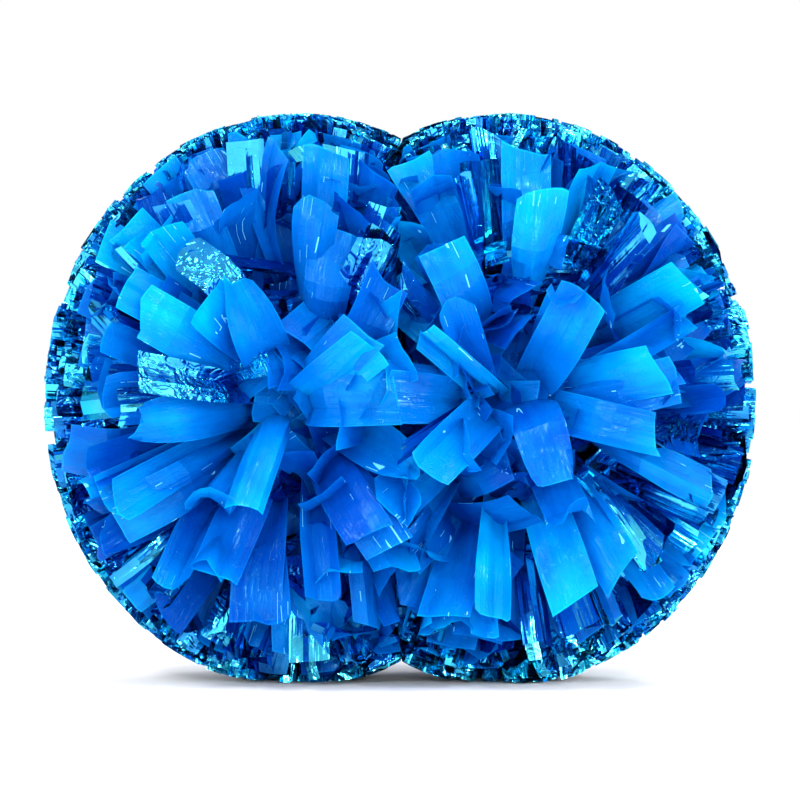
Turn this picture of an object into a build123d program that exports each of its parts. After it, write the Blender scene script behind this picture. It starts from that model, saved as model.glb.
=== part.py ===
from build123d import *

import os
from math import cos, radians, sin

# Baton-handled cheer pom pom: a plastic baton with a round tuft of fringed film sheets on each end.
#
# Millimetres, +Z up. +X runs along the baton, to the right as a viewer in front sees it; +Y points to
# the back, where the hand reaches in. The origin is on the resting surface, under the baton's middle.

# Baton
AXIS_HEIGHT = 132.0  # centre line of the baton above the resting surface
GRIP_LENGTH = 81.0
GRIP_RADIUS = 11.0
TUBE_WALL = 3.4
GROOVE_COUNT = 9
GROOVE_PITCH = 7.5
GROOVE_WIDTH = 2.2
GROOVE_DEPTH = 0.7
PLUG_LENGTH = 18.0
GLUE_GAP = 0.05  # radial room for glue between a spool's plug and the tube
END_CHAMFER = 0.6

# Spools, which plug into the tube's ends and carry the tufts
INNER_FLANGE_RADIUS = 15.0
OUTER_FLANGE_RADIUS = 13.0
FLANGE_THICKNESS = 2.0
NECK_RADIUS = 8.0
NECK_LENGTH = 12.0
CORE_RADIUS = 4.5  # moulded hollow in the outer end of each spool
CORE_DEPTH = 26.0
RIM_FILLET = 0.8

# Tufts
NECK_X = GRIP_LENGTH / 2 + FLANGE_THICKNESS + NECK_LENGTH / 2  # middle of each neck, and centre of each tuft
LOBE_HALF_LENGTH = 119.0  # reach of the strips along the baton, from the neck
LOBE_RADIUS = 134.5  # reach of the strips across the baton
MIDDLE_GAP = 0.4  # from the object's middle plane to each tuft
SHEETS_PER_TUFT = 16  # plastic and foil take turns round the neck
SHEET_ANGLE = 9.0  # share of the turn that one sheet's fringe takes up
SHEET_PITCH = 360 / SHEETS_PER_TUFT
BAND_ANGLE = SHEET_PITCH - 1.5  # the uncut band fills nearly its whole pitch
BAND_BORE = NECK_RADIUS + 0.3
BAND_RADIUS = 13.0
BAND_END_GAP = 0.3  # between the band and each flange
FLANGE_CLEARANCE = 0.5
AXIS_HOLE_RADIUS = 6.0  # the strips part round the spool's end

# Room for the fist round the grip, and the way to it from the back
FIST_RADIUS = 38.0
FIST_HALF_LENGTH = GRIP_LENGTH / 2 - 1.0
ARM_HALF_HEIGHT = 30.0

# Cable ties
TIE_WIDTH = 4.8
TIE_THICKNESS = 1.3
TIE_RADIUS = BAND_RADIUS + 0.1
HEAD_WIDTH = 6.0
HEAD_LENGTH = 6.6
HEAD_HEIGHT = 4.4
HEAD_CORNER = 0.8
HEAD_START = TIE_RADIUS + 0.2  # the head's flat foot, out from the axis
TAIL_WIDTH = TIE_WIDTH - 0.4
TAIL_START = HEAD_START + 2.0
TAIL_REACH = 5.0  # from the head's middle to the trimmed end
TIE_ANGLE = 75.0  # place of the tie's head round the neck
CHANNEL_HALF_WIDTH = 4.0  # the strips fold up on both sides of the tie and meet over it
CHANNEL_RADIUS = 20.0
CHANNEL_ROOF = 24.0

FAR = 400.0  # larger than the object, for cutting tools

baton_axis = Axis((0, 0, AXIS_HEIGHT), (1, 0, 0))
sides = {"left": -1, "right": 1}


def radial_plane(angle):
    """Sketch plane through the baton's axis: its x is along the baton, its y points away from the axis,
    at this angle from the back."""
    return Plane(
        origin=(0, 0, AXIS_HEIGHT),
        x_dir=(1, 0, 0),
        z_dir=(0, -sin(radians(angle)), cos(radians(angle))),
    )


def make_grip_tube():
    """Tube that the fist holds, with shallow rings for grip and softened ends."""
    with BuildPart() as tube:
        with BuildSketch(radial_plane(90)):
            with Locations((0, GRIP_RADIUS - TUBE_WALL / 2)):
                Rectangle(GRIP_LENGTH, TUBE_WALL)
            with Locations((0, GRIP_RADIUS)), GridLocations(GROOVE_PITCH, 0, GROOVE_COUNT, 1):
                Rectangle(GROOVE_WIDTH, 2 * GROOVE_DEPTH, mode=Mode.SUBTRACT)
        revolve(axis=baton_axis)
        outer_edges = tube.edges().filter_by(GeomType.CIRCLE).group_by(SortBy.RADIUS)[-1].sort_by(Axis.X)
        chamfer([outer_edges[0], outer_edges[-1]], END_CHAMFER)
    tube.part.label = "grip_tube"
    export_step(tube.part, "parts/grip_tube.step")


def make_spool(name, side):
    """End moulding: a plug in the tube, a flange against the hand, the neck and an outer flange."""
    grip_end = GRIP_LENGTH / 2
    neck_start = grip_end + FLANGE_THICKNESS
    neck_end = neck_start + NECK_LENGTH
    outer_end = neck_end + FLANGE_THICKNESS
    plug_radius = GRIP_RADIUS - TUBE_WALL - GLUE_GAP
    outline = [
        (grip_end - PLUG_LENGTH, 0),
        (grip_end - PLUG_LENGTH, plug_radius),
        (grip_end, plug_radius),
        (grip_end, INNER_FLANGE_RADIUS),
        (neck_start, INNER_FLANGE_RADIUS),
        (neck_start, NECK_RADIUS),
        (neck_end, NECK_RADIUS),
        (neck_end, OUTER_FLANGE_RADIUS),
        (outer_end, OUTER_FLANGE_RADIUS),
        (outer_end, CORE_RADIUS),
        (outer_end - CORE_DEPTH, CORE_RADIUS),
        (outer_end - CORE_DEPTH, 0),
    ]
    with BuildPart() as spool:
        with BuildSketch(radial_plane(90)):
            with BuildLine():
                Polyline([(side * x, r) for x, r in outline], close=True)
            make_face()
        revolve(axis=baton_axis)
        rims = spool.edges().filter_by(GeomType.CIRCLE).filter_by(lambda e: e.radius >= OUTER_FLANGE_RADIUS)
        fillet(rims, RIM_FILLET)
    spool.part.label = name
    export_step(spool.part, f"parts/{name}.step")


def make_sheet(name, side, angle, at_back):
    """One film sheet: its share of the uncut band round the neck, and the volume that its fluffed fringe
    fills, as a fan blade. The sheets at the back have no fringe over the hand."""
    band_start = GRIP_LENGTH / 2 + FLANGE_THICKNESS + BAND_END_GAP
    band_end = band_start + NECK_LENGTH - 2 * BAND_END_GAP
    over_inner_flange = INNER_FLANGE_RADIUS + FLANGE_CLEARANCE
    over_outer_flange = OUTER_FLANGE_RADIUS + FLANGE_CLEARANCE
    past_spool = GRIP_LENGTH / 2 + NECK_LENGTH + 2 * FLANGE_THICKNESS + FLANGE_CLEARANCE
    inward_fringe = [
        (MIDDLE_GAP, FAR),
        (MIDDLE_GAP, FIST_RADIUS),
        (FIST_HALF_LENGTH, FIST_RADIUS),
        (FIST_HALF_LENGTH, over_inner_flange),
        (band_start, over_inner_flange),
    ]
    no_inward_fringe = [(band_start, FAR)]
    outline = (no_inward_fringe if at_back else inward_fringe) + [
        (band_start, BAND_BORE),
        (band_end, BAND_BORE),
        (band_end, over_outer_flange),
        (past_spool, over_outer_flange),
        (past_spool, AXIS_HOLE_RADIUS),
        (FAR, AXIS_HOLE_RADIUS),
        (FAR, FAR),
    ]
    channel = [
        (NECK_X - CHANNEL_HALF_WIDTH, BAND_RADIUS),
        (NECK_X - CHANNEL_HALF_WIDTH, CHANNEL_RADIUS),
        (NECK_X, CHANNEL_ROOF),
        (NECK_X + CHANNEL_HALF_WIDTH, CHANNEL_RADIUS),
        (NECK_X + CHANNEL_HALF_WIDTH, BAND_RADIUS),
    ]
    with BuildPart() as sheet:
        with BuildSketch(radial_plane(angle - SHEET_ANGLE / 2)):
            with Locations((side * NECK_X, 0)):
                Ellipse(LOBE_HALF_LENGTH, LOBE_RADIUS)
            with BuildLine():
                Polyline([(side * x, r) for x, r in outline], close=True)
            make_face(mode=Mode.INTERSECT)
            with BuildLine():
                Polyline([(side * x, r) for x, r in channel], close=True)
            make_face(mode=Mode.SUBTRACT)
        revolve(axis=baton_axis, revolution_arc=SHEET_ANGLE)
        with BuildSketch(radial_plane(angle - BAND_ANGLE / 2)):
            with Locations((side * NECK_X, (BAND_BORE + BAND_RADIUS) / 2)):
                Rectangle(band_end - band_start, BAND_RADIUS - BAND_BORE)
        revolve(axis=baton_axis, revolution_arc=BAND_ANGLE)
        with Locations((0, 0, FAR / 2)):
            Box(2 * FAR, 2 * FAR, FAR, mode=Mode.INTERSECT)
        with Locations((0, FAR / 2, AXIS_HEIGHT)):
            Box(2 * FIST_HALF_LENGTH, FAR, 2 * ARM_HALF_HEIGHT, mode=Mode.SUBTRACT)
    sheet.part.label = name
    export_step(sheet.part, f"parts/{name}.step")


def make_cable_tie(name, side):
    """Strap drawn tight round the band, with its ratchet head and the trimmed tail."""
    head_plane = Plane(
        origin=(side * NECK_X, 0, AXIS_HEIGHT),
        x_dir=(1, 0, 0),
        z_dir=(0, cos(radians(TIE_ANGLE)), sin(radians(TIE_ANGLE))),
    )
    with BuildPart() as tie:
        with BuildSketch(radial_plane(TIE_ANGLE)):
            with Locations((side * NECK_X, TIE_RADIUS + TIE_THICKNESS / 2)):
                Rectangle(TIE_WIDTH, TIE_THICKNESS)
        revolve(axis=baton_axis)
        with BuildSketch(head_plane.offset(HEAD_START)):
            RectangleRounded(HEAD_WIDTH, HEAD_LENGTH, HEAD_CORNER)
        extrude(amount=HEAD_HEIGHT)
        with BuildSketch(head_plane.offset(TAIL_START)):
            with Locations((0, TAIL_REACH / 2)):
                Rectangle(TAIL_WIDTH, TAIL_REACH)
        extrude(amount=TIE_THICKNESS)
    tie.part.label = name
    export_step(tie.part, f"parts/{name}.step")


os.makedirs("parts", exist_ok=True)

make_grip_tube()
for side_name, side in sides.items():
    make_spool(f"{side_name}_spool", side)
    make_cable_tie(f"{side_name}_cable_tie", side)
    for index in range(SHEETS_PER_TUFT):
        film = "foil" if index % 2 else "plastic"
        angle = (index + 0.5) * SHEET_PITCH
        at_back = index in (0, SHEETS_PER_TUFT - 1)
        make_sheet(f"{side_name}_{film}_sheet_{index // 2 + 1}", side, angle, at_back)
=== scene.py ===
from math import atan, cos, pi, radians, sin, tan

import bpy
import numpy as np
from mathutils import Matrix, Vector


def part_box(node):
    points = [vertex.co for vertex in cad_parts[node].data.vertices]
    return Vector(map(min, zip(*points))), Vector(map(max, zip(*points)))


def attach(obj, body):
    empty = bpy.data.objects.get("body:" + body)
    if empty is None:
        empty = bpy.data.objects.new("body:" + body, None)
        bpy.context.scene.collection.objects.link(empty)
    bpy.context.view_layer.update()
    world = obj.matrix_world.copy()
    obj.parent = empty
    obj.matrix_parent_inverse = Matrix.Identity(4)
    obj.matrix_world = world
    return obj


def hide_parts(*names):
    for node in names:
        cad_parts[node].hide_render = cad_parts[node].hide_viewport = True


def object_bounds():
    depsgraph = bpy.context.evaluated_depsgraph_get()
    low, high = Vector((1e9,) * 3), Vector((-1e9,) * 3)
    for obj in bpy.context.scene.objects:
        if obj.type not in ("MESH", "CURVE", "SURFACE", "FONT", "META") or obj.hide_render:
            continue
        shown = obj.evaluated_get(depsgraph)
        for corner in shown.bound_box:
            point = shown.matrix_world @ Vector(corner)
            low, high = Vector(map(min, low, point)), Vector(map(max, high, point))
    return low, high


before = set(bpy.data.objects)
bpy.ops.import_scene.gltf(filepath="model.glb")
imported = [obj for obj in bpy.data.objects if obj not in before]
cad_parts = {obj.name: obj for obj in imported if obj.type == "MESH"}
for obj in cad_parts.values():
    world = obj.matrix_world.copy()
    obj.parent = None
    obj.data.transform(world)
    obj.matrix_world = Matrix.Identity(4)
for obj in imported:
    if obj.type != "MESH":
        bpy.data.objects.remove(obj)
cad_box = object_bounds()

# Driving dimensions, in metres. Places come from the frame.
MM = 0.001
GRIP_LOW, GRIP_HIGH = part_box("grip_tube")
AXIS_HEIGHT = (GRIP_LOW.z + GRIP_HIGH.z) / 2
TIE_LOW, TIE_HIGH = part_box("right_cable_tie")
NECK_X = (TIE_LOW.x + TIE_HIGH.x) / 2
LOBE_REACH = cad_box[1].x - NECK_X  # along the baton, from the neck
LOBE_MARGIN = 1.007  # the fringe ends a little outside the CAD solids
LOBE_RADIUS = (cad_box[1].y - cad_box[0].y) / 2 * LOBE_MARGIN  # across the baton
BAND_RADIUS = 13.2 * MM
BAND_HALF_WIDTH = 4.6 * MM
FIST_RADIUS = 35 * MM  # of the space for the fist, round the grip
FIST_HALF_LENGTH = 39 * MM
ARM_HALF_HEIGHT = 27 * MM  # of the way in for the arm, from behind
FLOOR_CLEARANCE = 0.7 * MM
WAVE_HEIGHT = 2.5 * MM  # of the face between the two tufts
WAVE_LENGTH = 60 * MM
PETAL_OVERLAP = 10 * MM  # how far a listed petal may lie over that face
SIDES = {"left": -1, "right": 1}

# For each film: what a strip measures, how many strips a fringe has and how many facets long they are, how
# near they may point to the line of sight, how far they sway and pleat, how far their edges wave and their
# surface ripples in millimetres, and how light the lightest of them is; for the plastic this is kept low as
# painted shade on the strips that lie behind the petals.
FILMS = {
    "plastic": {
        "width": 24 * MM,
        "length": 127 * MM,
        "strips": 34,
        "rows": 18,
        "clear_of_sight": radians(40),
        "sway": radians(17),
        "pleat": radians(10),
        "slack": 1.5,
        "ripple": 0.28,
        "palest": 0.55,
    },
    "foil": {
        "width": 19 * MM,
        "length": 133 * MM,
        "strips": 72,
        "rows": 12,
        "clear_of_sight": radians(56),
        "sway": radians(22),
        "pleat": radians(24),
        "slack": 0.6,
        "ripple": 0.15,
        "palest": 1,
    },
}
CRUMPLE_RIPPLE = 0.75  # mm, added where foil is crumpled
COLUMNS = 6  # facets across a strip
STRIP_PITCH = 1.1  # from one strip to the next in the UVs, in strip widths
SHEETS_PER_FILM = 8
SHEET_PITCH = pi / SHEETS_PER_FILM  # round the neck, from one sheet to the next
CANDIDATES = 10  # shapes tried for each strip; the one that fits best is kept

# Fillers are petals that come behind those listed below
FILLERS = 100  # tried for each tuft
FILLER_TURN = 137.5  # degrees from one to the next, the golden angle
FILLER_FOIL_SHARE = 0.34
FILLER_LENGTH = 0.95  # of a strip's length
FILLER_REACH = (48, 64)  # mm: the shortest, and what is added at most
COVERED_WITHIN = 15  # degrees from a listed petal, which a filler there has to outreach
LONGEST_REACH = 121  # mm
INWARD_REACH = 62  # mm, towards the other tuft
BEND_TO = 0.95  # of a petal's length, where its bend is complete

# What a shape pays for leaving the room that its strip has
EDGE_SHARE = 0.8  # of a strip's width, where its edges are judged
SPARE = 2 * MM  # over the middle, which costs nothing at most
PETAL_SPARE = 11 * MM  # more of it, for a petal
OUTSIDE_COST = 8  # for going out of the lobe by the lobe's own radius
DEEP = 10 * MM  # into the other tuft or the floor, which costs 1
FIST_COST = 0.15  # for each point in the space for the fist
LEAST_SHARE = 0.8  # of its length, which a strip keeps for nothing
SHORT_COST = 4  # for losing all of its length

# What each kind of tip changes in the plan of a petal; a loop bends further, too
LOOP_BEND = radians(110)
TIPS = {
    "plain": {},
    "fold": {"unrest": 2},
    "point": {"pinch": radians(150)},
    "roll": {"curl": radians(330)},
    "loop": {"fall_from": 0.4},
    "streak": {"crumple": 0.08},
    "crumple": {"crumple": 1},
}

# The strips that show most at the front, for each tuft: film, compass direction as the viewer sees it
# (0 right, 90 up), how far the tip shows from the neck in millimetres, the tilt of its face in degrees, how
# light its colour is, partly its own tone and partly painted light and shade, and its kind of tip.
PETALS = {
    "left": [
        ("plastic", 145, 72, 5, 1.0, "plain"),
        ("plastic", 143, 92, 12, 0.7, "plain"),
        ("plastic", 129, 101, -5, 0.9, "plain"),
        ("plastic", 125, 72, 15, 0.8, "plain"),
        ("plastic", 115, 99, 0, 0.8, "fold"),
        ("foil", 104, 78, 35, 0.1, "fold"),
        ("plastic", 89, 86, -8, 0.6, "plain"),
        ("plastic", 75, 71, 6, 0.5, "fold"),
        ("plastic", 93, 52, 20, 0.8, "point"),
        ("plastic", 70, 38, -25, 0.6, "plain"),
        ("plastic", 28, 34, 10, 0.9, "plain"),
        ("foil", 62, 82, 0, 0.2, "crumple"),
        ("plastic", 82, 110, 10, 0.7, "plain"),
        ("plastic", 96, 112, -40, 0.3, "plain"),
        ("plastic", 108, 112, 30, 0.4, "plain"),
        ("plastic", 164, 98, -20, 0.6, "plain"),
        ("plastic", 173, 90, 25, 0.4, "plain"),
        ("foil", 169, 67, 0, 0.3, "crumple"),
        ("foil", 178, 82, 10, 0.5, "streak"),
        ("plastic", 189, 68, 0, 0.7, "point"),
        ("plastic", 258, 46, -6, 0.9, "plain"),
        ("plastic", 208, 97, 5, 0.8, "plain"),
        ("plastic", 220, 90, -12, 0.7, "fold"),
        ("plastic", 232, 104, 30, 0.4, "plain"),
        ("plastic", 244, 96, 10, 0.6, "plain"),
        ("plastic", 335, 70, -8, 0.8, "point"),
        ("plastic", 292, 66, 14, 0.1, "plain"),
        ("plastic", 286, 106, 8, 0.8, "plain"),
        ("plastic", 297, 100, -25, 0.5, "plain"),
        ("plastic", 268, 98, 12, 0.3, "plain"),
        ("plastic", 301, 72, 4, 0.45, "plain"),
        ("plastic", 279, 84, -6, 0.25, "plain"),
        ("plastic", 262, 92, 8, 0.15, "plain"),
        ("plastic", 250, 84, -4, 0.5, "plain"),
        ("plastic", 232, 80, 6, 0.75, "plain"),
        ("foil", 271, 122, 0, 0.7, "streak"),
        ("foil", 258, 116, 15, 0.5, "streak"),
        ("plastic", 31, 64, 35, 0.2, "plain"),
        ("plastic", 18, 60, 5, 0.7, "plain"),
        ("plastic", 8, 56, -15, 0.6, "fold"),
        ("plastic", 352, 38, 10, 0.7, "plain"),
        ("plastic", 312, 82, 15, 0.6, "plain"),
        ("plastic", 306, 92, -10, 0.7, "plain"),
    ],
    "right": [
        ("plastic", 133, 72, 4, 0.9, "plain"),
        ("plastic", 124, 108, -6, 1.0, "fold"),
        ("plastic", 110, 110, 10, 0.7, "plain"),
        ("foil", 102, 100, 0, 0.1, "streak"),
        ("plastic", 89, 109, 0, 0.8, "plain"),
        ("plastic", 87, 88, -6, 1.0, "plain"),
        ("plastic", 106, 68, 10, 0.7, "fold"),
        ("plastic", 69, 67, -12, 0.6, "fold"),
        ("plastic", 54, 52, 10, 0.7, "plain"),
        ("foil", 48, 108, 25, 0.3, "streak"),
        ("foil", 55, 104, -20, 0.2, "streak"),
        ("foil", 63, 116, 0, 0.5, "crumple"),
        ("plastic", 70, 118, 12, 0.9, "plain"),
        ("plastic", 31, 106, -6, 1.0, "plain"),
        ("plastic", 19, 88, 10, 0.8, "plain"),
        ("plastic", 14, 66, -4, 0.9, "plain"),
        ("plastic", 0, 67, 14, 0.7, "plain"),
        ("plastic", 299, 30, -10, 0.5, "point"),
        ("plastic", 140, 42, 0, 1.0, "roll"),
        ("plastic", 148, 50, -40, 0.5, "plain"),
        ("plastic", 259, 34, 6, 0.8, "loop"),
        ("plastic", 213, 44, 12, 0.7, "plain"),
        ("plastic", 228, 62, -20, 0.3, "plain"),
        ("plastic", 269, 90, 0, 1.0, "plain"),
        ("plastic", 283, 86, 6, 1.0, "plain"),
        ("plastic", 300, 76, -16, 0.5, "point"),
        ("plastic", 337, 58, 10, 0.7, "fold"),
        ("plastic", 340, 97, -6, 0.7, "plain"),
        ("plastic", 318, 99, 5, 0.7, "loop"),
        ("plastic", 304, 93, -8, 0.7, "plain"),
        ("plastic", 266, 105, 20, 0.8, "plain"),
        ("plastic", 256, 100, -8, 0.5, "plain"),
        ("plastic", 234, 92, 8, 0.8, "plain"),
        ("plastic", 221, 76, -5, 0.7, "plain"),
        ("foil", 276, 116, 0, 0.1, "streak"),
        ("foil", 285, 114, 10, 0.2, "streak"),
        ("foil", 292, 117, -10, 0.8, "streak"),
        ("plastic", 168, 56, 6, 0.7, "plain"),
        ("plastic", 184, 56, -10, 0.6, "plain"),
        ("foil", 196, 52, 20, 0.2, "streak"),
        ("foil", 350, 108, 5, 0.4, "crumple"),
        ("foil", 8, 104, -30, 0.2, "streak"),
    ],
}


# ---------------------------------------------------------------- strips

def turned(v, w, angle):
    """v and w, unit and square to each other, turned in their plane so that v moves towards w."""
    c, s = np.cos(angle)[:, None], np.sin(angle)[:, None]
    return c * v + s * w, c * w - s * v


def unit(v):
    return v / np.maximum(np.linalg.norm(v, axis=-1, keepdims=True), 1e-9)


def ease(share):
    """A share from 0 to 1 that starts and ends smoothly."""
    share = np.clip(share, 0, 1)
    return share * share * (3 - 2 * share)


def bump(t, start, end):
    """Share of a turn made in each step of a strip, when the turn runs smoothly from start to end."""
    return np.diff(ease((t[None, :] - start[:, None]) / (end - start)[:, None]), axis=1)


def lay_strips(root, along, face, bends, twists, lengths):
    """Centre lines of strips and the directions of their faces and widths. A film bends only about its own
    width and twists only about its own length, so its edges keep their length."""
    rows = bends.shape[1]
    step = lengths / rows
    points, faces, widths, tangents = [root], [face], [np.cross(along, face)], [along]
    t, n, b = along, face, np.cross(along, face)
    p = root
    for i in range(rows):
        t, n = turned(t, n, bends[:, i])
        n, b = turned(n, b, twists[:, i])
        p = p + t * step[:, None]
        points.append(p)
        faces.append(n)
        widths.append(b)
        tangents.append(t)
    return [np.stack(a, axis=1) for a in (points, faces, widths, tangents)]


def misfit(points, widths, side, width, spare):
    """How badly each strip leaves the room that it has: its lobe, its side of the middle, the space for
    the fist and the floor."""
    edges = np.concatenate([points, points + widths * width / 2, points - widths * width / 2], axis=1)
    x, y, z = side * edges[..., 0], edges[..., 1], edges[..., 2] - AXIS_HEIGHT
    r = np.hypot(y, z)
    lobe = np.sqrt(((x - NECK_X) / LOBE_REACH) ** 2 + (r / LOBE_RADIUS) ** 2)
    outside = np.clip(lobe - 1.0, 0, None).max(axis=1) * OUTSIDE_COST
    across = np.clip(-x - spare[:, None], 0, None).max(axis=1) / DEEP
    under = np.clip(FLOOR_CLEARANCE - edges[..., 2], 0, None).max(axis=1) / DEEP
    by_grip = (np.abs(x) < FIST_HALF_LENGTH) & (
        (r < FIST_RADIUS) | ((y > 0) & (np.abs(z) < ARM_HALF_HEIGHT))
    )
    in_fist = by_grip.sum(axis=1) * FIST_COST
    return outside + across + under + in_fist


def from_zero(steps):
    """Running sums along the last axis, with the zero that they start from."""
    return np.concatenate([np.zeros_like(steps[..., :1]), np.cumsum(steps, axis=-1)], axis=-1)


def cross_section(curl, weights, width, pleats):
    """Offsets across a strip, along its width and off its face, for the turn between its edges and the
    pleats along it."""
    angles = from_zero(curl[..., None] * weights[:, None, :] + pleats) - curl[..., None] / 2
    facet = width / COLUMNS
    across, off = from_zero(np.cos(angles) * facet), from_zero(np.sin(angles) * facet)
    across -= across[..., COLUMNS // 2, None]
    off -= off[..., COLUMNS // 2, None]
    return across, off


def fold_weights(rng, count):
    """How each strip shares its turn among the lines along it: evenly, as a curl, or nearly all at one line,
    as a crease."""
    inner = COLUMNS - 1
    even = np.full((count, inner), 1 / inner)
    crease = np.zeros((count, inner))
    crease[np.arange(count), rng.integers(1, inner - 1, count)] = 1
    creased = rng.random(count) < 0.55
    share = np.where(creased, rng.uniform(0.6, 0.95, count), rng.uniform(0, 0.25, count))
    return even * (1 - share[:, None]) + crease * share[:, None]


def to_lobe(origin, way, side, lobe):
    """How far along way a point goes from origin to where it meets the lobe scaled by lobe."""
    scale = np.array([LOBE_REACH, LOBE_RADIUS, LOBE_RADIUS])
    p = (origin - np.array([side * NECK_X, 0, AXIS_HEIGHT])) / scale
    d = way / scale
    a = (d * d).sum(-1)
    b = (p * d).sum(-1)
    c = (p * p).sum(-1) - lobe**2
    return (-b + np.sqrt(np.maximum(b * b - a * c, 0))) / np.maximum(a, 1e-12)


def flatness(lift):
    """1 where a strip lies near the plane of the outline, for the share of it that points at the viewer."""
    return np.clip(1.6 - lift / 0.3, 0, 1)


def spread_out(side, azimuth, polar, clear):
    """Directions leant away from the line of sight by the angle clear or more, so that the petals show down
    to the neck, and drawn towards the outline, which is dense."""
    x, y, z = side * np.cos(polar), np.sin(polar) * np.cos(azimuth), np.sin(polar) * np.sin(azimuth)
    compass = np.arctan2(z, x)
    lean = np.arccos(np.clip(-y, -1, 1))
    lean = np.where(lean < clear, clear + (clear - lean) * 0.5, lean)
    off = lean - pi / 2  # 0 in the plane of the outline
    drawn = radians(42)  # how far from that plane strips are drawn towards it
    off = np.where(np.abs(off) < drawn, np.sign(off) * drawn * (np.abs(off) / drawn) ** 1.5, off)
    lean = off + pi / 2
    x, y, z = np.sin(lean) * np.cos(compass), -np.cos(lean), np.sin(lean) * np.sin(compass)
    return np.arctan2(z, y), np.arccos(np.clip(side * x, -1, 1))


def even_angles(rng, widest, least, count):
    """Angles from an axis that spread directions evenly over a ball."""
    return np.arccos(rng.uniform(np.cos(widest), np.cos(least), count))


def plan_strips(rng, side, film, index):
    """What each strip of a sheet is to do, as arrays. The first half of them is the fringe on the outer side
    of the tie."""
    spec = FILMS[film]
    foil = film == "foil"
    each = spec["strips"]
    count = 2 * each
    outward = np.arange(count) < each
    spread = SHEET_PITCH * 1.6  # either way, so that a sheet mixes with its neighbours
    even = (np.arange(count) % each + rng.uniform(0, 1, count)) / each
    azimuth = (index + 0.5) * SHEET_PITCH + (2 * even - 1) * spread
    azimuth = (azimuth + pi) % (2 * pi) - pi
    # Inner strips stand aside for the wrist, which comes to the grip from behind
    wrist = radians(30)
    beside = np.where(azimuth < 0, -1, 1) * (wrist + rng.uniform(0, radians(25), count))
    azimuth = np.where(~outward & (np.abs(azimuth) < wrist), beside, azimuth)
    depth = -np.cos(azimuth)  # 1 where the strip leaves the neck towards the viewer
    out_polar = even_angles(rng, radians(92), radians(3), count)
    least = np.where(depth > 0.3, radians(48), radians(64))
    in_polar = pi - even_angles(rng, radians(95), least, count)
    polar = np.where(outward, out_polar, in_polar)
    azimuth, polar = spread_out(side, azimuth, polar, spec["clear_of_sight"])
    # The strips beside the axis lean over it, to close the end of the tuft beyond the spool
    polar = polar - radians(9) * np.clip(1 - polar / radians(30), 0, 1)
    depth = -np.cos(azimuth)
    lift = np.abs(np.sin(polar) * depth)  # 1 where the strip points at the viewer or straight back
    flat = flatness(lift)
    # 1 under the petals that show
    front = np.clip((-np.sin(polar) * np.cos(azimuth) - 0.55) / 0.25, 0, 1)
    if foil:
        lobe = 1.008 - rng.uniform(0, 0.012, count) - 0.1 * rng.uniform(0.2, 1, count) * (1 - flat)
    else:
        lobe = rng.uniform(0.86, 0.965, count) + 0.02 * (1 - flat)
    return {
        # Where it leaves the neck, and the way that it points from there: round the axis from straight
        # back, and away from the axis, at the root and then beyond
        "outward": outward,
        "azimuth": azimuth,
        "start": np.where(outward, radians(50), radians(105)) + rng.normal(0, radians(5), count),
        "polar": polar,
        # How long it is, and the share of the lobe that it fills
        "lobe": lobe,
        "length": spec["length"] * (1 - 0.1 * lift * rng.uniform(0.3, 1, count)),
        # How lively it is, how far it turns its face to the viewer, and how far off that it is
        "unrest": 1 - 0.8 * flat if foil else 1 - 0.4 * flat,
        "keen": 0.2 + 0.5 * lift if foil else 0.55 + 0.45 * np.sqrt(lift),
        "sway": np.full(count, spec["sway"]),
        "tilt": np.zeros(count),
        # How far it bends back towards the outline, and between which shares of its length
        "fall": radians(75) * lift**1.6,
        "fall_from": rng.uniform(0.2, 0.35, count),
        "fall_to": rng.uniform(0.6, 0.95, count),
        # Lightness of its colour, at random up to its film's palest: for the plastic, kept low as painted
        # shade on the strips behind the petals
        "shade": rng.uniform(0, spec["palest"], count),
        # The turn between its edges, what the tip adds, and where along it the strip has opened out
        "curl": np.abs(rng.normal(radians(30), radians(28), count)) + radians(90) * flat * foil,
        "pinch": np.zeros(count),
        "open_by": rng.uniform(0.35, 0.75, count),
        # How crumpled it is, and how likely to be folded away behind the petals
        "crumple": np.where(rng.random(count) < 0.25 + 0.5 * flat, rng.uniform(0.4, 1, count), 0.12) * foil,
        "tuck": np.maximum(front, np.clip((lift - 0.35) / 0.2, 0, 0.85) * foil),
        # Whether it is a petal, and how far it may lie over the face between the tufts
        "shown": np.zeros(count, bool),
        "over": np.zeros(count),
    }


def all_petals(side_name):
    """The petals that show, and behind them others that fill the front."""
    side = SIDES[side_name]
    rng = np.random.default_rng(40 + side)
    petals = [(*petal, 1.0) for petal in PETALS[side_name]]
    for i in range(FILLERS):
        compass = (i * FILLER_TURN + rng.normal(0, 6)) % 360
        film = "foil" if rng.random() < FILLER_FOIL_SHARE else "plastic"
        reach = FILLER_REACH[0] + FILLER_REACH[1] * rng.random() ** 0.6
        covered = [
            other_reach
            for _, other, other_reach, *_ in PETALS[side_name]
            if abs((compass - other + 180) % 360 - 180) < COVERED_WITHIN
        ]
        if covered and reach < max(covered):
            reach = max(covered) + rng.uniform(2, 16)
        inwards = -side * cos(radians(compass))
        if reach > LONGEST_REACH or inwards * reach > INWARD_REACH:
            continue
        tip = str(rng.choice(["plain", "plain", "fold", "point"])) if film == "plastic" else "streak"
        tilt, shade = rng.normal(0, 20), rng.uniform(0, 1)
        petals.append((film, compass, reach, tilt, shade, tip, FILLER_LENGTH))
    return petals


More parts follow.
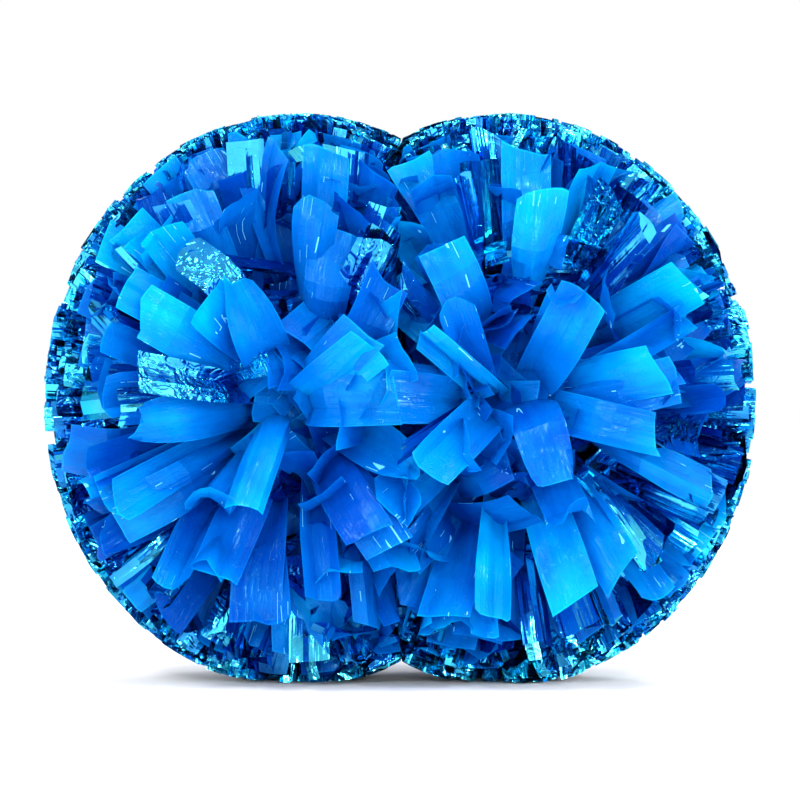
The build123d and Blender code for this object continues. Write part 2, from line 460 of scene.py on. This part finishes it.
def aim_petal(compass, reach, length):
    """The way that a petal leaves the neck, for its tip to show where it should, how far it bends back
    towards the outline, and the share of its length from which it does."""
    bend = radians(np.interp(reach, [25, 60, 90, 120], [62, 46, 32, 10]))
    bend_from = np.interp(reach, [25, 60, 90], [0.5, 0.38, 0.28])
    share = ease((np.linspace(0, 1, 200) - bend_from) / (BEND_TO - bend_from))
    leans = np.radians(np.arange(1, 86))
    reaches = np.sin(leans[:, None] + bend * share[None, :]).mean(axis=1) * length / MM
    lean = leans[np.argmin(np.abs(reaches - 0.96 * reach))]
    way = np.array([sin(lean) * cos(radians(compass)), -cos(lean), sin(lean) * sin(radians(compass))])
    return way, bend, bend_from


def place_petals(rng, plan, side_name, film, index):
    """Gives strips of a sheet the places of the petals that leave the neck nearest to it."""
    i = -1
    for kind_of_film, compass, reach, tilt, shade, tip, share_of_length in all_petals(side_name):
        length = FILMS[kind_of_film]["length"] * share_of_length
        way, bend, bend_from = aim_petal(compass, reach, length)
        azimuth = np.arctan2(way[2], way[1])
        place = (azimuth % (2 * pi)) / SHEET_PITCH - 0.5 - (film == "foil")
        nearest = int(place / 2 + 0.5) % SHEETS_PER_FILM
        if kind_of_film != film or nearest != index // 2:
            continue
        i += 1
        polar = np.arccos(SIDES[side_name] * way[0])
        outward = polar < pi / 2
        listed = share_of_length == 1
        widest = 105 if listed else 190
        petal = {
            "shown": True,
            "over": PETAL_OVERLAP * listed,
            "outward": outward,
            "azimuth": azimuth,
            "start": radians(60) if outward else radians(100),
            "polar": polar,
            "lobe": 1.0,
            "length": length,
            "unrest": rng.uniform(0.3, 1.3),
            "keen": 1,
            "sway": 0,
            "tilt": radians(tilt),
            "fall": bend + LOOP_BEND * (tip == "loop"),
            "fall_from": bend_from,
            "fall_to": BEND_TO,
            "shade": shade,
            "curl": radians(rng.uniform(15, 70) if rng.random() < 0.75 else rng.uniform(80, widest)),
            "open_by": rng.uniform(0.7, 0.95),
            "tuck": 0,
            **TIPS[tip],
        }
        for key, value in petal.items():
            plan[key][i] = value


def spokes(azimuth):
    """Unit vectors away from the baton's axis."""
    return np.stack([np.zeros(len(azimuth)), np.cos(azimuth), np.sin(azimuth)], axis=1)


def direction(side, azimuth, polar):
    """Unit vectors at those angles round the baton's axis and from it, and others square to them in the same
    plane."""
    axis = np.zeros((len(polar), 3))
    axis[:, 0] = side
    spoke = spokes(azimuth)
    along = np.cos(polar)[:, None] * axis + np.sin(polar)[:, None] * spoke
    face = -np.sin(polar)[:, None] * axis + np.cos(polar)[:, None] * spoke
    return along, face


def roots(rng, side, plan):
    """Where the strips leave the band that the tie grips."""
    count = len(plan["polar"])
    root = np.zeros((count, 3))
    ways = np.where(plan["outward"], 1, -1)
    root[:, 0] = side * (NECK_X + ways * rng.uniform(0.6, 1, count) * BAND_HALF_WIDTH)
    root[:, 2] = AXIS_HEIGHT
    return root + spokes(plan["azimuth"]) * (BAND_RADIUS + rng.uniform(0, 1.5 * MM, count))[:, None]


def facing(side, plan):
    """The face and width that a strip has before it twists, the way to the viewer or straight back, and the
    twist that turns its face that way."""
    aim, plain_face = direction(side, plan["azimuth"], plan["polar"])
    plain_width = np.cross(aim, plain_face)
    look = np.zeros_like(aim)
    look[:, 1] = np.where(aim[:, 1] < 0.15, -1, 1)
    seen = unit(look - (look * aim).sum(1)[:, None] * aim)
    to_face = np.arctan2((seen * plain_width).sum(1), (seen * plain_face).sum(1))
    return plain_face, plain_width, look, (to_face + pi / 2) % pi - pi / 2


def try_shape(rng, plan, t, faced):
    """How much each strip bends and twists at each step, in a shape drawn at random from its plan."""
    plain_face, plain_width, look, to_face = faced
    shown, unrest, count = plan["shown"], plan["unrest"], len(to_face)
    turn_end = np.where(shown, 0.16, rng.uniform(0.14, 0.26, count))
    bends = (plan["polar"] - plan["start"])[:, None] * bump(t, np.zeros(count), turn_end)
    twist = plan["keen"] * to_face + plan["tilt"] + rng.normal(0, 1, count) * plan["sway"]
    twist_from = rng.uniform(0, 0.08, count)
    twists = twist[:, None] * bump(t, twist_from, rng.uniform(0.3, 0.5, count))
    after = np.cos(twist)[:, None] * plain_face + np.sin(twist)[:, None] * plain_width
    toward = np.where((after * look).sum(1) >= 0, 1, -1)
    # The tip falls away from the viewer, or now and then a little towards
    loose = np.abs(rng.normal(radians(10), radians(12), count)) * unrest * ~shown
    fall = loose + plan["fall"] * np.where(shown, 1, rng.uniform(0.55, 1.1, count))
    fall = np.where((rng.random(count) < 0.92) | shown, -toward * fall, toward * fall * 0.3)
    bends = bends + fall[:, None] * bump(t, plan["fall_from"], plan["fall_to"])
    flick = rng.normal(0, radians(16), count) * unrest
    bends = bends + flick[:, None] * bump(t, rng.uniform(0.6, 0.8, count), np.full(count, 1.02))
    # Some are folded over, near the tip or, where they are tucked behind the petals, half way
    tucked = rng.random(count) < plan["tuck"]
    folded = (rng.random(count) < 0.1 * unrest) | (unrest > 1.5) | tucked
    fold_at = np.where(tucked, rng.uniform(0.4, 0.58, count), rng.uniform(0.65, 0.88, count))
    fold = rng.uniform(radians(50), radians(120), count) * np.where(shown, 0.55, 1) + radians(50) * tucked
    fold = fold * rng.choice([-1, 1], count) * folded
    return bends + fold[:, None] * bump(t, fold_at, fold_at + 0.07), twists


def best_lines(rng, side, film, plan, t):
    """Centre lines, faces, widths, tangents and lengths of the strips, in the shapes that fit best."""
    spec = FILMS[film]
    count = len(plan["polar"])
    root = roots(rng, side, plan)
    along, face = direction(side, plan["azimuth"], plan["start"])
    faced = facing(side, plan)
    best = None
    for _ in range(CANDIDATES):
        bends, twists = try_shape(rng, plan, t, faced)
        points = lay_strips(root, along, face, bends, twists, np.ones(count))[0]
        lengths = np.minimum(plan["length"], to_lobe(root, points[:, -1] - root, side, plan["lobe"]))
        points, faces, widths, tangents = lay_strips(root, along, face, bends, twists, lengths)
        spare = rng.uniform(0, 1, count) * SPARE + plan["shown"] * PETAL_SPARE
        bad = misfit(points, widths, side, spec["width"] * EDGE_SHARE, spare)
        bad = bad + np.clip(LEAST_SHARE - lengths / spec["length"], 0, 1) * SHORT_COST
        bad = bad + rng.uniform(0, 0.05, count)
        found = [points, faces, widths, tangents, lengths, bad]
        if best is None:
            best = found
        else:
            better = bad < best[-1]
            for old, new in zip(best, found):
                old[better] = new[better]
    return best[:-1]


def open_out(rng, film, plan, t, points, faces, widths):
    """Vertices of the strips, each gathered to a narrow tube at the root and opening to its own width."""
    spec = FILMS[film]
    count = len(points)
    root_curl = rng.uniform(radians(250), radians(330), count)
    opened = np.clip(t[None, :] / plan["open_by"][:, None], 0, 1)
    opened = opened ** rng.uniform(0.45, 0.9, count)[:, None]
    curl = root_curl[:, None] * (1 - opened) + plan["curl"][:, None] * opened
    late = np.clip((t[None, :] - 0.72) / 0.28, 0, 1) ** 1.5
    curl = (curl + plan["pinch"][:, None] * late) * rng.choice([-1, 1], count)[:, None]
    pleats = rng.normal(0, spec["pleat"], (count, 1, COLUMNS - 1)) * np.sqrt(opened)[..., None]
    across, off = cross_section(curl, fold_weights(rng, count), spec["width"], pleats)
    verts = (
        points[:, :, None, :]
        + across[..., None] * widths[:, :, None, :]
        + off[..., None] * faces[:, :, None, :]
    )
    # Slack: the edges of a strip wave a little, out of step with each other
    waves = rng.uniform(0.8, 2.2, (2, count, 1, 1))
    phases = rng.uniform(0, 2 * pi, (2, count, 1, 1))
    left, right = np.sin(2 * pi * waves * t[None, None, :, None] + phases)
    over = np.linspace(0, 1, COLUMNS + 1)
    slack = (left * (1 - over) ** 2 + right * over**2) * np.clip(t * 2 - 0.4, 0, 1)[None, :, None]
    slack = slack * spec["slack"] * MM
    verts = verts + slack[..., None] * faces[:, :, None, :]
    ripple = rng.normal(0, 1, verts.shape[:3])
    ripple = (ripple + np.roll(ripple, 1, 1) * 0.6 + np.roll(ripple, 1, 2) * 0.5) / 1.6
    size = (spec["ripple"] + CRUMPLE_RIPPLE * plan["crumple"]) * MM
    ripple = ripple * size[:, None, None] * np.clip(t * 3, 0, 1)[None, :, None]
    return verts + ripple[..., None] * faces[:, :, None, :]


def cut_ends(rng, side, film, plan, verts, tangents, lengths):
    """Cuts the strips to the round outline where they reach it, and a little askew elsewhere."""
    spec = FILMS[film]
    count = len(verts)
    over = np.linspace(-1, 1, COLUMNS + 1)
    end = np.repeat(tangents[:, -1:], COLUMNS + 1, axis=1)
    trim = to_lobe(verts[:, -1], end, side, plan["lobe"][:, None])
    askew = rng.normal(0, radians(13), count)[:, None] * over * spec["width"] / 2
    rounded = (rng.random(count) < 0.15) * rng.uniform(1, 3, count) * MM
    askew = askew - rounded[:, None] * np.abs(over) ** 3
    tip_at = rng.uniform(-0.8, 0.8, count)[:, None]
    pointed = (rng.random(count) < 0.4) & (film == "plastic")
    tip_depth = rng.uniform(-2.5, 8, count) * pointed * MM
    askew = askew - tip_depth[:, None] * np.abs(over - tip_at)
    reached = (lengths < plan["length"] * 0.999) & ~plan["shown"]
    cut = np.where(reached[:, None], np.clip(trim, -4 * MM, 4 * MM), askew)
    verts[:, -1] += cut[..., None] * end


def keep_apart(rng, side, plan, verts):
    """Holds the strips inside the outline, above the floor and on their own side. The two tufts press on each
    other at the middle, along a wavy face that is the same all round, so that a turn keeps them apart and
    nobody sees between them. Only petals at the front lie across it."""
    neck = np.array([side * NECK_X, 0, AXIS_HEIGHT])
    away = (verts - neck) / np.array([LOBE_REACH, LOBE_RADIUS, LOBE_RADIUS])
    verts = neck + (verts - neck) / np.maximum(np.linalg.norm(away, axis=-1, keepdims=True) / 1.01, 1)
    verts[..., 2] = np.maximum(verts[..., 2], FLOOR_CLEARANCE)
    radius = np.hypot(verts[..., 1], verts[..., 2] - AXIS_HEIGHT)
    wave = WAVE_HEIGHT * np.sin(2 * pi * radius / WAVE_LENGTH)
    nearest = (rng.uniform(0.05, 0.4, len(verts)) * MM - plan["over"])[:, None, None]
    verts[..., 0] = wave + side * np.maximum(side * (verts[..., 0] - wave), nearest)
    return verts


def make_strips(rng, side, film, plan):
    """Vertices of the strips of a sheet, as a grid for each strip."""
    t = np.linspace(0, 1, FILMS[film]["rows"] + 1)
    points, faces, widths, tangents, lengths = best_lines(rng, side, film, plan, t)
    verts = open_out(rng, film, plan, t, points, faces, widths)
    cut_ends(rng, side, film, plan, verts, tangents, lengths)
    return keep_apart(rng, side, plan, verts)


def strip_mesh(name, verts, pleated):
    """One mesh from strips, each a grid of vertices, smooth but for the pleats along it."""
    count, long, wide, _ = verts.shape
    cell = np.arange(count * long * wide).reshape(count, long, wide)
    quads = np.stack([cell[:, :-1, :-1], cell[:, :-1, 1:], cell[:, 1:, 1:], cell[:, 1:, :-1]], axis=-1)
    quads = quads.reshape(-1, 4)
    mesh = bpy.data.meshes.new(name)
    mesh.vertices.add(cell.size)
    mesh.vertices.foreach_set("co", verts.astype(np.float32).ravel())
    mesh.loops.add(quads.size)
    mesh.loops.foreach_set("vertex_index", quads.astype(np.int32).ravel())
    mesh.polygons.add(len(quads))
    mesh.polygons.foreach_set("loop_start", np.arange(0, quads.size, 4, dtype=np.int32))
    mesh.polygons.foreach_set("loop_total", np.full(len(quads), 4, dtype=np.int32))
    mesh.polygons.foreach_set("use_smooth", np.ones(len(quads), dtype=bool))
    mesh.update(calc_edges=True)
    if pleated:
        ends = np.zeros(2 * len(mesh.edges), np.int32)
        mesh.edges.foreach_get("vertices", ends)
        lengthwise = np.abs(ends[1::2] - ends[::2]) == wide
        sharp = mesh.attributes.new("sharp_edge", "BOOLEAN", "EDGE")
        sharp.data.foreach_set("value", lengthwise)
    else:
        mesh.set_sharp_from_angle(angle=radians(16))
    return mesh


def add_uv(mesh, shape, length, width):
    """UVs in metres along and across each strip, strips side by side."""
    uv = mesh.uv_layers.new(name="film")
    count, long, wide = shape
    i, v, u = np.meshgrid(
        np.arange(count), np.linspace(0, length, long), np.linspace(0, width, wide), indexing="ij"
    )
    coords = np.stack([u + i * width * STRIP_PITCH, v], axis=-1).reshape(-1, 2)
    index = np.zeros(len(mesh.loops), np.int32)
    mesh.loops.foreach_get("vertex_index", index)
    uv.data.foreach_set("uv", coords[index].astype(np.float32).ravel())


def add_layer(mesh, name, values, shape):
    """A number for each strip, held at its vertices."""
    layer = mesh.attributes.new(name, "FLOAT", "POINT")
    layer.data.foreach_set("value", np.repeat(values, shape[1] * shape[2]).astype(np.float32))


def put(name, data):
    """A new object in the scene."""
    item = bpy.data.objects.new(name, data)
    bpy.context.scene.collection.objects.link(item)
    return item


def make_sheet(side_name, film, number):
    """One sheet of film, as the two fringes that it ends in, with its strips."""
    side = SIDES[side_name]
    index = 2 * (number - 1) + (film == "foil")
    spec = FILMS[film]
    rng = np.random.default_rng(1000 * (side + 2) + 10 * index + 7)
    plan = plan_strips(rng, side, film, index)
    place_petals(rng, plan, side_name, film, index)
    verts = make_strips(rng, side, film, plan)
    name = f"{side_name}_{film}_fringe_{number}"
    mesh = strip_mesh(name, verts, film == "foil")
    shape = verts.shape[:3]
    add_uv(mesh, shape, spec["length"], spec["width"])
    add_layer(mesh, "shade", plan["shade"], shape)
    add_layer(mesh, "crumple", plan["crumple"], shape)
    piece = put(name, mesh)
    mesh.materials.append(MATERIALS[film])
    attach(piece, f"{side_name}_tuft")
    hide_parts(f"{side_name}_{film}_sheet_{number}")


# ---------------------------------------------------------------- materials

class Graph:
    """A material's node tree, built by name."""

    def __init__(self, name):
        self.material = bpy.data.materials.new(name)
        self.material.use_nodes = True
        self.nodes = self.material.node_tree.nodes
        self.links = self.material.node_tree.links
        self.nodes.clear()
        self.output = self.nodes.new("ShaderNodeOutputMaterial")

    def add(self, kind, inputs=None, **settings):
        node = self.nodes.new("ShaderNode" + kind)
        for name, value in settings.items():
            setattr(node, name, value)
        for name, value in (inputs or {}).items():
            socket = node.inputs[name]
            if isinstance(value, bpy.types.NodeSocket):
                self.links.new(value, socket)
            else:
                socket.default_value = value
        return node

    def maths(self, operation, first, second=0.0, third=0.0):
        node = self.add("Math", operation=operation)
        for socket, value in zip(node.inputs, (first, second, third)):
            if isinstance(value, bpy.types.NodeSocket):
                self.links.new(value, socket)
            else:
                socket.default_value = value
        return node.outputs[0]

    def noise(self, vector, scale, detail=2.0, distortion=0.0):
        inputs = {"Vector": vector, "Scale": scale, "Detail": detail, "Distortion": distortion}
        return self.add("TexNoise", inputs).outputs["Fac"]

    def stretched(self, uv, share):
        """UVs in which a noise is long along the strip and narrow across it."""
        return self.add("Mapping", {"Vector": uv, "Scale": (1.0, share, 1.0)}).outputs[0]

    def from_middle(self, noise):
        """How far a noise is from its middle value, which makes ridges of it."""
        return self.maths("ABSOLUTE", self.maths("SUBTRACT", noise, 0.5))

    def ramp(self, fac, low, high):
        node = self.add("ValToRGB", {"Fac": fac})
        node.color_ramp.elements[0].color = (*low, 1)
        node.color_ramp.elements[1].color = (*high, 1)
        return node.outputs[0]

    def finish(self, shader):
        self.links.new(shader, self.output.inputs[0])
        return self.material


def strip_place(g, width, length):
    """How far across a strip, from -1 to 1, and along it, from 0 to 1, a point of its film is."""
    uv = g.add("UVMap", uv_map="film").outputs[0]
    split = g.add("SeparateXYZ", {"Vector": uv})
    across = g.maths("MODULO", split.outputs["X"], width * STRIP_PITCH)
    across = g.maths("MULTIPLY_ADD", across, 2 / width, -1.0)
    along = g.maths("MULTIPLY", split.outputs["Y"], 1 / length)
    return uv, across, along


def plastic_material():
    """Satin, see-through azure film with soft waves and creases; painted highlights, glints and shade."""
    g = Graph("plastic_film")
    spec = FILMS["plastic"]
    uv, across, along = strip_place(g, spec["width"], spec["length"])
    shade = g.add("Attribute", attribute_name="shade").outputs["Fac"]
    place = g.add("TexCoord").outputs["Object"]
    cloud = g.noise(place, 28.0)
    # Painted highlight: a thin lighter line along the cut sides and end of each strip
    side_highlight = g.maths("GREATER_THAN", g.maths("ABSOLUTE", across), 0.965)
    end_highlight = g.maths("GREATER_THAN", along, 0.994)
    edge_highlight = g.maths("MAXIMUM", side_highlight, end_highlight)
    drawn = g.stretched(uv, 0.08)
    # Lengthwise streaks, lighter and darker: painted shade of the pleats and of strips seen through the film
    band = g.noise(drawn, 150.0, 2.5)

    # Colour: painted shade darker towards the root and in lengthwise streaks, painted highlights at the cut
    # sides and ends, and each strip's lightness, partly its own tone and partly painted light and shade
    mixed = g.maths("MULTIPLY_ADD", cloud, 1.1, g.maths("MULTIPLY_ADD", shade, 0.75, -1.32))
    for part, share in ((along, 0.6), (band, 0.4), (edge_highlight, 0.18)):
        mixed = g.maths("MULTIPLY_ADD", part, share, mixed)
    azure = g.add("ValToRGB", {"Fac": mixed})
    azure.color_ramp.elements[0].color = (0.0, 0.06, 0.42, 1)
    azure.color_ramp.elements[1].color = (0.0, 0.42, 0.82, 1)
    middle = azure.color_ramp.elements.new(0.5)
    middle.color = (0.0, 0.175, 0.63, 1)

    # Painted glints: fine pale lines along the strip, in patches, standing for highlights on its creases
    line = g.noise(g.stretched(uv, 0.06), 120.0, 1.0)
    line = g.maths("LESS_THAN", g.from_middle(line), 0.006)
    line = g.maths("MULTIPLY", line, g.maths("GREATER_THAN", g.noise(place, 62.0), 0.635))
    pale = (0.15, 0.72, 1.0, 1)
    mixed = g.add("MixRGB", {"Fac": line, "Color1": azure.outputs[0], "Color2": pale})
    colour = mixed.outputs[0]

    # Surface: soft waves, creases along the strip and small knocks
    wave = g.noise(place, 55.0, 1.5)
    crease = g.maths("POWER", g.from_middle(g.noise(drawn, 210.0, 3.0)), 0.6)
    knocks = g.from_middle(g.noise(place, 140.0, 2.0, 1.5))
    height = g.maths("MULTIPLY_ADD", crease, 0.6, wave)
    height = g.maths("MULTIPLY_ADD", g.maths("MINIMUM", knocks, 0.035), 4.0, height)
    normal = g.add("Bump", {"Height": height, "Strength": 0.55, "Distance": 0.002}).outputs[0]
    skin = g.add(
        "BsdfPrincipled",
        {
            "Base Color": colour,
            "Roughness": 0.16,
            "Specular IOR Level": 0.25,
            "Specular Tint": (0.12, 0.8, 1, 1),
            "Coat Weight": 0.08,
            "Coat Roughness": 0.015,
            "Normal": normal,
            "Coat Normal": normal,
        },
    )
    through = g.add("BsdfTranslucent", {"Color": colour, "Normal": normal})
    mix = g.add("MixShader", {0: 0.4})
    g.links.new(skin.outputs[0], mix.inputs[1])
    g.links.new(through.outputs[0], mix.inputs[2])
    return g.finish(mix.outputs[0])


def foil_material():
    """Metallised blue film: streaks along each strip, and crumpled facets on some."""
    g = Graph("foil_film")
    shade = g.add("Attribute", attribute_name="shade").outputs["Fac"]
    crumple = g.add("Attribute", attribute_name="crumple").outputs["Fac"]
    uv = g.add("UVMap", uv_map="film").outputs[0]
    streak = g.noise(g.stretched(uv, 0.05), 230.0)
    place = g.add("TexCoord").outputs["Object"]

    # Facets: in each cell the surface tilts its own way
    cell = g.add("TexVoronoi", {"Vector": place, "Scale": 240.0}).outputs
    half = (0.5, 0.5, 0.5)
    tilt = g.add("VectorMath", {0: cell["Color"], 1: half}, operation="SUBTRACT").outputs[0]
    offset = g.add("VectorMath", {0: place, 1: cell["Position"]}, operation="SUBTRACT").outputs[0]
    facet = g.add("VectorMath", {0: tilt, 1: offset}, operation="DOT_PRODUCT").outputs["Value"]

    fold = g.from_middle(g.noise(place, 85.0, 2.0, 1.0))
    height = g.maths("MULTIPLY_ADD", fold, 3.0, g.maths("MULTIPLY", facet, 230.0))
    height = g.maths("MULTIPLY_ADD", streak, 0.7, g.maths("MULTIPLY", height, crumple))
    normal = g.add("Bump", {"Height": height, "Strength": 0.6, "Distance": 0.002}).outputs[0]
    # Colour: a random cloud and each strip's lightness, partly its own tone and partly painted light and
    # shade
    cloud = g.noise(place, 40.0)
    mixed = g.maths("MULTIPLY_ADD", cloud, 0.7, g.maths("MULTIPLY_ADD", shade, 0.7, -0.2))
    skin = g.add(
        "BsdfPrincipled",
        {
            "Base Color": g.ramp(mixed, (0.0, 0.07, 0.44), (0.07, 0.72, 0.88)),
            "Metallic": 1.0,
            "Roughness": 0.13,
            "Specular Tint": (0.02, 0.65, 1, 1),
            "Coat Weight": 0.1,
            "Coat Roughness": 0.04,
            "Normal": normal,
            "Coat Normal": normal,
        },
    )
    return g.finish(skin.outputs[0])


def moulded_material(name, low, high, roughness):
    """Moulded plastic with a faint grain and handling wear."""
    g = Graph(name)
    place = g.add("TexCoord").outputs["Object"]
    cloud = g.noise(place, 60.0, 4.0)
    grain = g.noise(place, 1800.0)
    normal = g.add("Bump", {"Height": grain, "Strength": 0.25, "Distance": 0.0003}).outputs[0]
    rough = g.maths("MULTIPLY_ADD", cloud, 0.25, roughness - 0.12)
    colour = g.ramp(cloud, low, high)
    skin = g.add("BsdfPrincipled", {"Base Color": colour, "Roughness": rough, "Normal": normal})
    return g.finish(skin.outputs[0])


MATERIALS = {
    "plastic": plastic_material(),
    "foil": foil_material(),
    "grip": moulded_material("grip_plastic", (0.012, 0.075, 0.38), (0.02, 0.12, 0.5), 0.45),
    "spool": moulded_material("spool_plastic", (0.012, 0.075, 0.36), (0.02, 0.11, 0.46), 0.4),
    "tie": moulded_material("tie_nylon", (0.7, 0.75, 0.78), (0.82, 0.86, 0.88), 0.3),
}


def dress(node, material):
    """A CAD node's own surface, in a better material."""
    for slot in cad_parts[node].material_slots:
        slot.material = material


# ---------------------------------------------------------------- scene

# Name, place and size in metres, and power in watts
LIGHTS = (
    ("key", (-0.9, -1.2, 1.5), 0.5, 17),
    ("fill", (1.3, -1.2, 0.8), 0.7, 8),
    ("box_left", (-1.7, -0.8, 0.5), 0.35, 7),
    ("box_low", (0.7, -1.7, 0.2), 0.3, 4),
    ("box_high", (0.4, -0.8, 1.9), 0.35, 7),
    ("box_right", (1.8, -0.3, 0.5), 0.35, 6),
    ("spark_left", (-1.4, -1.3, 0.4), 0.06, 8),
    ("spark_right", (0.9, -1.6, 1.3), 0.06, 9),
    ("spark_near", (-0.35, -1.9, 0.9), 0.06, 8),
    ("spark_low", (0.4, -1.6, 0.06), 0.06, 5),
    ("spark_side", (1.7, -0.5, 0.5), 0.06, 8),
    ("spark_high", (-0.2, -1.0, 1.9), 0.06, 9),
    ("spark_far", (-1.0, -1.9, 0.15), 0.06, 8),
    ("spark_front", (0.3, -2.1, 0.5), 0.06, 7),
    ("back", (0.6, 1.5, 1.3), 0.6, 16),
)


def make_camera():
    """In front of the object, level with its middle, and far enough off for a flat perspective."""
    distance = 1.6
    half_frame = 0.1893  # from the middle of the picture to its side, at the object
    camera = bpy.data.cameras.new("camera")
    camera.sensor_width = 36
    camera.lens = camera.sensor_width / 2 / tan(atan(half_frame / distance))
    item = put("camera", camera)
    item.location = (0, -distance, AXIS_HEIGHT)
    item.rotation_euler = (radians(90), 0, 0)
    bpy.context.scene.camera = item
    bpy.context.scene.view_settings.view_transform = "Standard"


def make_floor():
    """A plain pale floor under the object."""
    half = 12
    corners = [(x * half, y * half, 0) for x, y in ((-1, -1), (1, -1), (1, 1), (-1, 1))]
    mesh = bpy.data.meshes.new("floor")
    mesh.from_pydata(corners, [], [(0, 1, 2, 3)])
    floor = put("floor", mesh)
    g = Graph("floor")
    cloud = g.noise(g.add("TexCoord").outputs["Object"], 3.0, 4.0)
    colour = g.ramp(cloud, (0.93, 0.93, 0.93), (0.95, 0.95, 0.95))
    skin = g.add("BsdfPrincipled", {"Base Color": colour, "Roughness": 0.9, "Specular IOR Level": 0.1})
    mesh.materials.append(g.finish(skin.outputs[0]))


def make_world():
    """A white studio to the camera; to the object, bright above and dimmer towards the floor."""
    world = bpy.data.worlds.new("studio")
    bpy.context.scene.world = world
    world.use_nodes = True
    nodes, links = world.node_tree.nodes, world.node_tree.links
    back = nodes["Background"]
    back.inputs[0].default_value = (1, 1, 1, 1)
    back.inputs[1].default_value = 1.0
    room = nodes.new("ShaderNodeBackground")
    coord = nodes.new("ShaderNodeTexCoord")
    split = nodes.new("ShaderNodeSeparateXYZ")
    ramp = nodes.new("ShaderNodeValToRGB")
    half = nodes.new("ShaderNodeMath")  # from -1 straight down and 1 straight up, to 0 and 1
    half.operation = "MULTIPLY_ADD"
    half.inputs[1].default_value = 0.5
    half.inputs[2].default_value = 0.5
    links.new(coord.outputs["Generated"], split.inputs[0])
    links.new(split.outputs["Z"], half.inputs[0])
    links.new(half.outputs[0], ramp.inputs[0])
    links.new(ramp.outputs[0], room.inputs[0])
    shades = ((0.0, 0.1), (0.45, 0.18), (0.54, 0.22), (0.64, 1.15), (0.8, 0.7), (1.0, 1.2))
    elements = ramp.color_ramp.elements
    while len(elements) < len(shades):
        elements.new(0.5)
    for element, (at, value) in zip(elements, shades):
        element.position = at
        element.color = (value, value, value, 1)
    ray = nodes.new("ShaderNodeLightPath")
    mix = nodes.new("ShaderNodeMixShader")
    links.new(ray.outputs["Is Camera Ray"], mix.inputs[0])
    links.new(room.outputs[0], mix.inputs[1])
    links.new(back.outputs[0], mix.inputs[2])
    links.new(mix.outputs[0], nodes["World Output"].inputs[0])


def make_lights():
    """Large soft boxes, small bright sparks for the glints in the film, and an even sky."""
    target = Vector((0, 0, AXIS_HEIGHT))
    for name, place, size, power in LIGHTS:
        light = bpy.data.lights.new(name, "AREA")
        light.energy = power
        light.size = size
        item = put(name, light)
        item.location = place
        item.rotation_euler = (target - Vector(place)).to_track_quat("-Z", "Y").to_euler()
    sky = bpy.data.lights.new("sky", "SUN")
    sky.energy = 0.6
    sky.angle = radians(120)
    put("sky", sky)


make_camera()
make_floor()
make_world()
make_lights()
for side_name in SIDES:
    for film in FILMS:
        for number in range(1, SHEETS_PER_FILM + 1):
            make_sheet(side_name, film, number)
    dress(f"{side_name}_spool", MATERIALS["spool"])
    dress(f"{side_name}_cable_tie", MATERIALS["tie"])
dress("grip_tube", MATERIALS["grip"])
